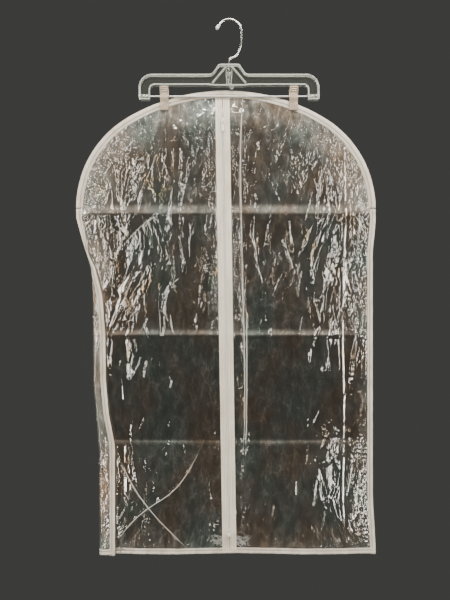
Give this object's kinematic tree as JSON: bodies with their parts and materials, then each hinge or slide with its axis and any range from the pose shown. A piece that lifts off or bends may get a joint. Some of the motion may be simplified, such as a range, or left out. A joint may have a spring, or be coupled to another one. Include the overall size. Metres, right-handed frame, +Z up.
{
  "type": "garment bag",
  "caption": "Clear film garment bag with an arched top, white edge binding and a front zipper, gripped by the two clips of a clear skirt hanger.",
  "frame": {"origin": "the hook's seat: the underside of the hanger hook's wire at its highest point, where it rests on a rail", "axes": "+Z up, +X to the right as seen from the zipper side, and the zipper faces -Y"},
  "size_m": [0.596, 0.0198, 1.0631],
  "materials": {
    "hook_wire": "polished zinc-plated wire",
    "tip_vinyl": "moulded vinyl cap",
    "hanger_clear": "clear moulded polystyrene",
    "rod_steel": "plated steel rod",
    "clip_nickel": "nickel-plated stamped steel",
    "spring_steel": "spring wire",
    "pad_vinyl": "dark soft vinyl",
    "film_clear": "clear wrinkled PEVA film",
    "binding_white": "white non-woven edge tape",
    "zipper_tape": "white woven zipper tape",
    "zipper_coil": "white nylon coil",
    "slider_metal": "white enamelled zinc"
  },
  "bodies": {
    "hook": {"hanger_hook": "hook_wire", "hook_tip": "tip_vinyl", "hook_collar": "hook_wire"},
    "hanger": {"hanger_body": "hanger_clear", "clip_rod": "rod_steel"},
    "bag": {"back_panel": "film_clear", "front_panel_left": "film_clear", "front_panel_right": "film_clear", "arch_binding": "binding_white", "side_binding_left": "binding_white", "side_binding_right": "binding_white", "hem_binding": "binding_white", "zipper_tape_left": "zipper_tape", "zipper_tape_right": "zipper_tape", "zipper_coil_left": "zipper_coil", "zipper_coil_right": "zipper_coil", "zipper_top_stops": "slider_metal", "zipper_bottom_stop": "slider_metal"},
    "slider": {"zipper_slider": "slider_metal"},
    "puller": {"slider_puller": "slider_metal"},
    "clip_left": {"clip_left_back_leaf": "clip_nickel", "clip_left_back_pad": "pad_vinyl", "clip_left_spring": "spring_steel"},
    "clip_left_jaw": {"clip_left_front_leaf": "clip_nickel", "clip_left_front_pad": "pad_vinyl"},
    "clip_right": {"clip_right_back_leaf": "clip_nickel", "clip_right_back_pad": "pad_vinyl", "clip_right_spring": "spring_steel"},
    "clip_right_jaw": {"clip_right_front_leaf": "clip_nickel", "clip_right_front_pad": "pad_vinyl"}
  },
  "joints": [
    {"name": "hook_swivel", "type": "hinge", "parent": "hook", "child": "hanger", "pos_m": [0, 0, -0.1], "axis": [0, 0, 1], "continuous": true},
    {"name": "bag_swing", "type": "hinge", "parent": "hanger", "child": "bag", "pos_m": [0, 0, -0.1515], "axis": [1, 0, 0], "range_deg": [-30, 30]},
    {"name": "zipper_slide", "type": "slide", "parent": "bag", "child": "slider", "axis": [0.0155, 0, -0.9999], "range_m": [0, 0.806]},
    {"name": "puller_flip", "type": "hinge", "parent": "slider", "child": "puller", "pos_m": [-0.01233, -0.0067, -0.20275], "axis": [-0.9999, 0, -0.0155], "range_deg": [0, 170]},
    {"name": "clip_left_slide", "type": "slide", "parent": "bag", "child": "clip_left", "axis": [-1, 0, 0], "range_m": [-0.002, 0.01]},
    {"name": "clip_left_open", "type": "hinge", "parent": "clip_left", "child": "clip_left_jaw", "pos_m": [-0.128, 0, -0.1515], "axis": [-1, 0, 0], "range_deg": [0, 20], "stiffness_Nm_per_rad": 0.05, "springref_deg": -17.19},
    {"name": "clip_right_slide", "type": "slide", "parent": "bag", "child": "clip_right", "axis": [1, 0, 0], "range_m": [-0.002, 0.01]},
    {"name": "clip_right_open", "type": "hinge", "parent": "clip_right", "child": "clip_right_jaw", "pos_m": [0.128, 0, -0.1515], "axis": [-1, 0, 0], "range_deg": [0, 20], "stiffness_Nm_per_rad": 0.05, "springref_deg": -17.19}
  ]
}
